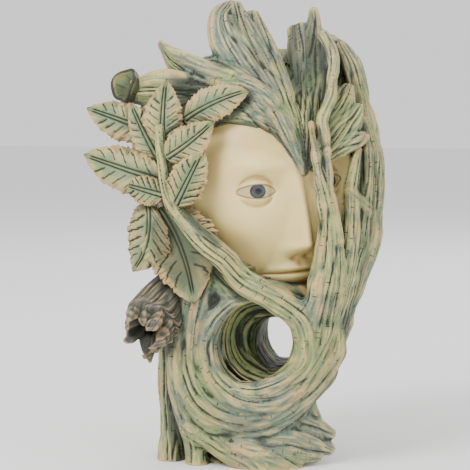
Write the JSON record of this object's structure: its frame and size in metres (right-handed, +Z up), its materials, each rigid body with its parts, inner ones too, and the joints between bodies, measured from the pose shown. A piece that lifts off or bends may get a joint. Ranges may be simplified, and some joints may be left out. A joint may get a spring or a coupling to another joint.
{
  "type": "tree face sculpture",
  "caption": "Free-standing tree spirit head in a hollow weathered trunk, with leaves, bark crown and a see-through knot hole.",
  "frame": {"origin": "middle of the bounding box on the flat underside", "axes": "+Z up, -Y the side that the see-through hole opens on, +X to the right seen from there"},
  "size_m": [0.2352, 0.19, 0.36],
  "materials": {
    "painted_resin": "hand painted weathered bark: sage and grey green with tan dry brushing and dark wash, cream face, satin eyes"
  },
  "bodies": {
    "root": {"tree_face_sculpture": "painted_resin"}
  },
  "joints": []
}
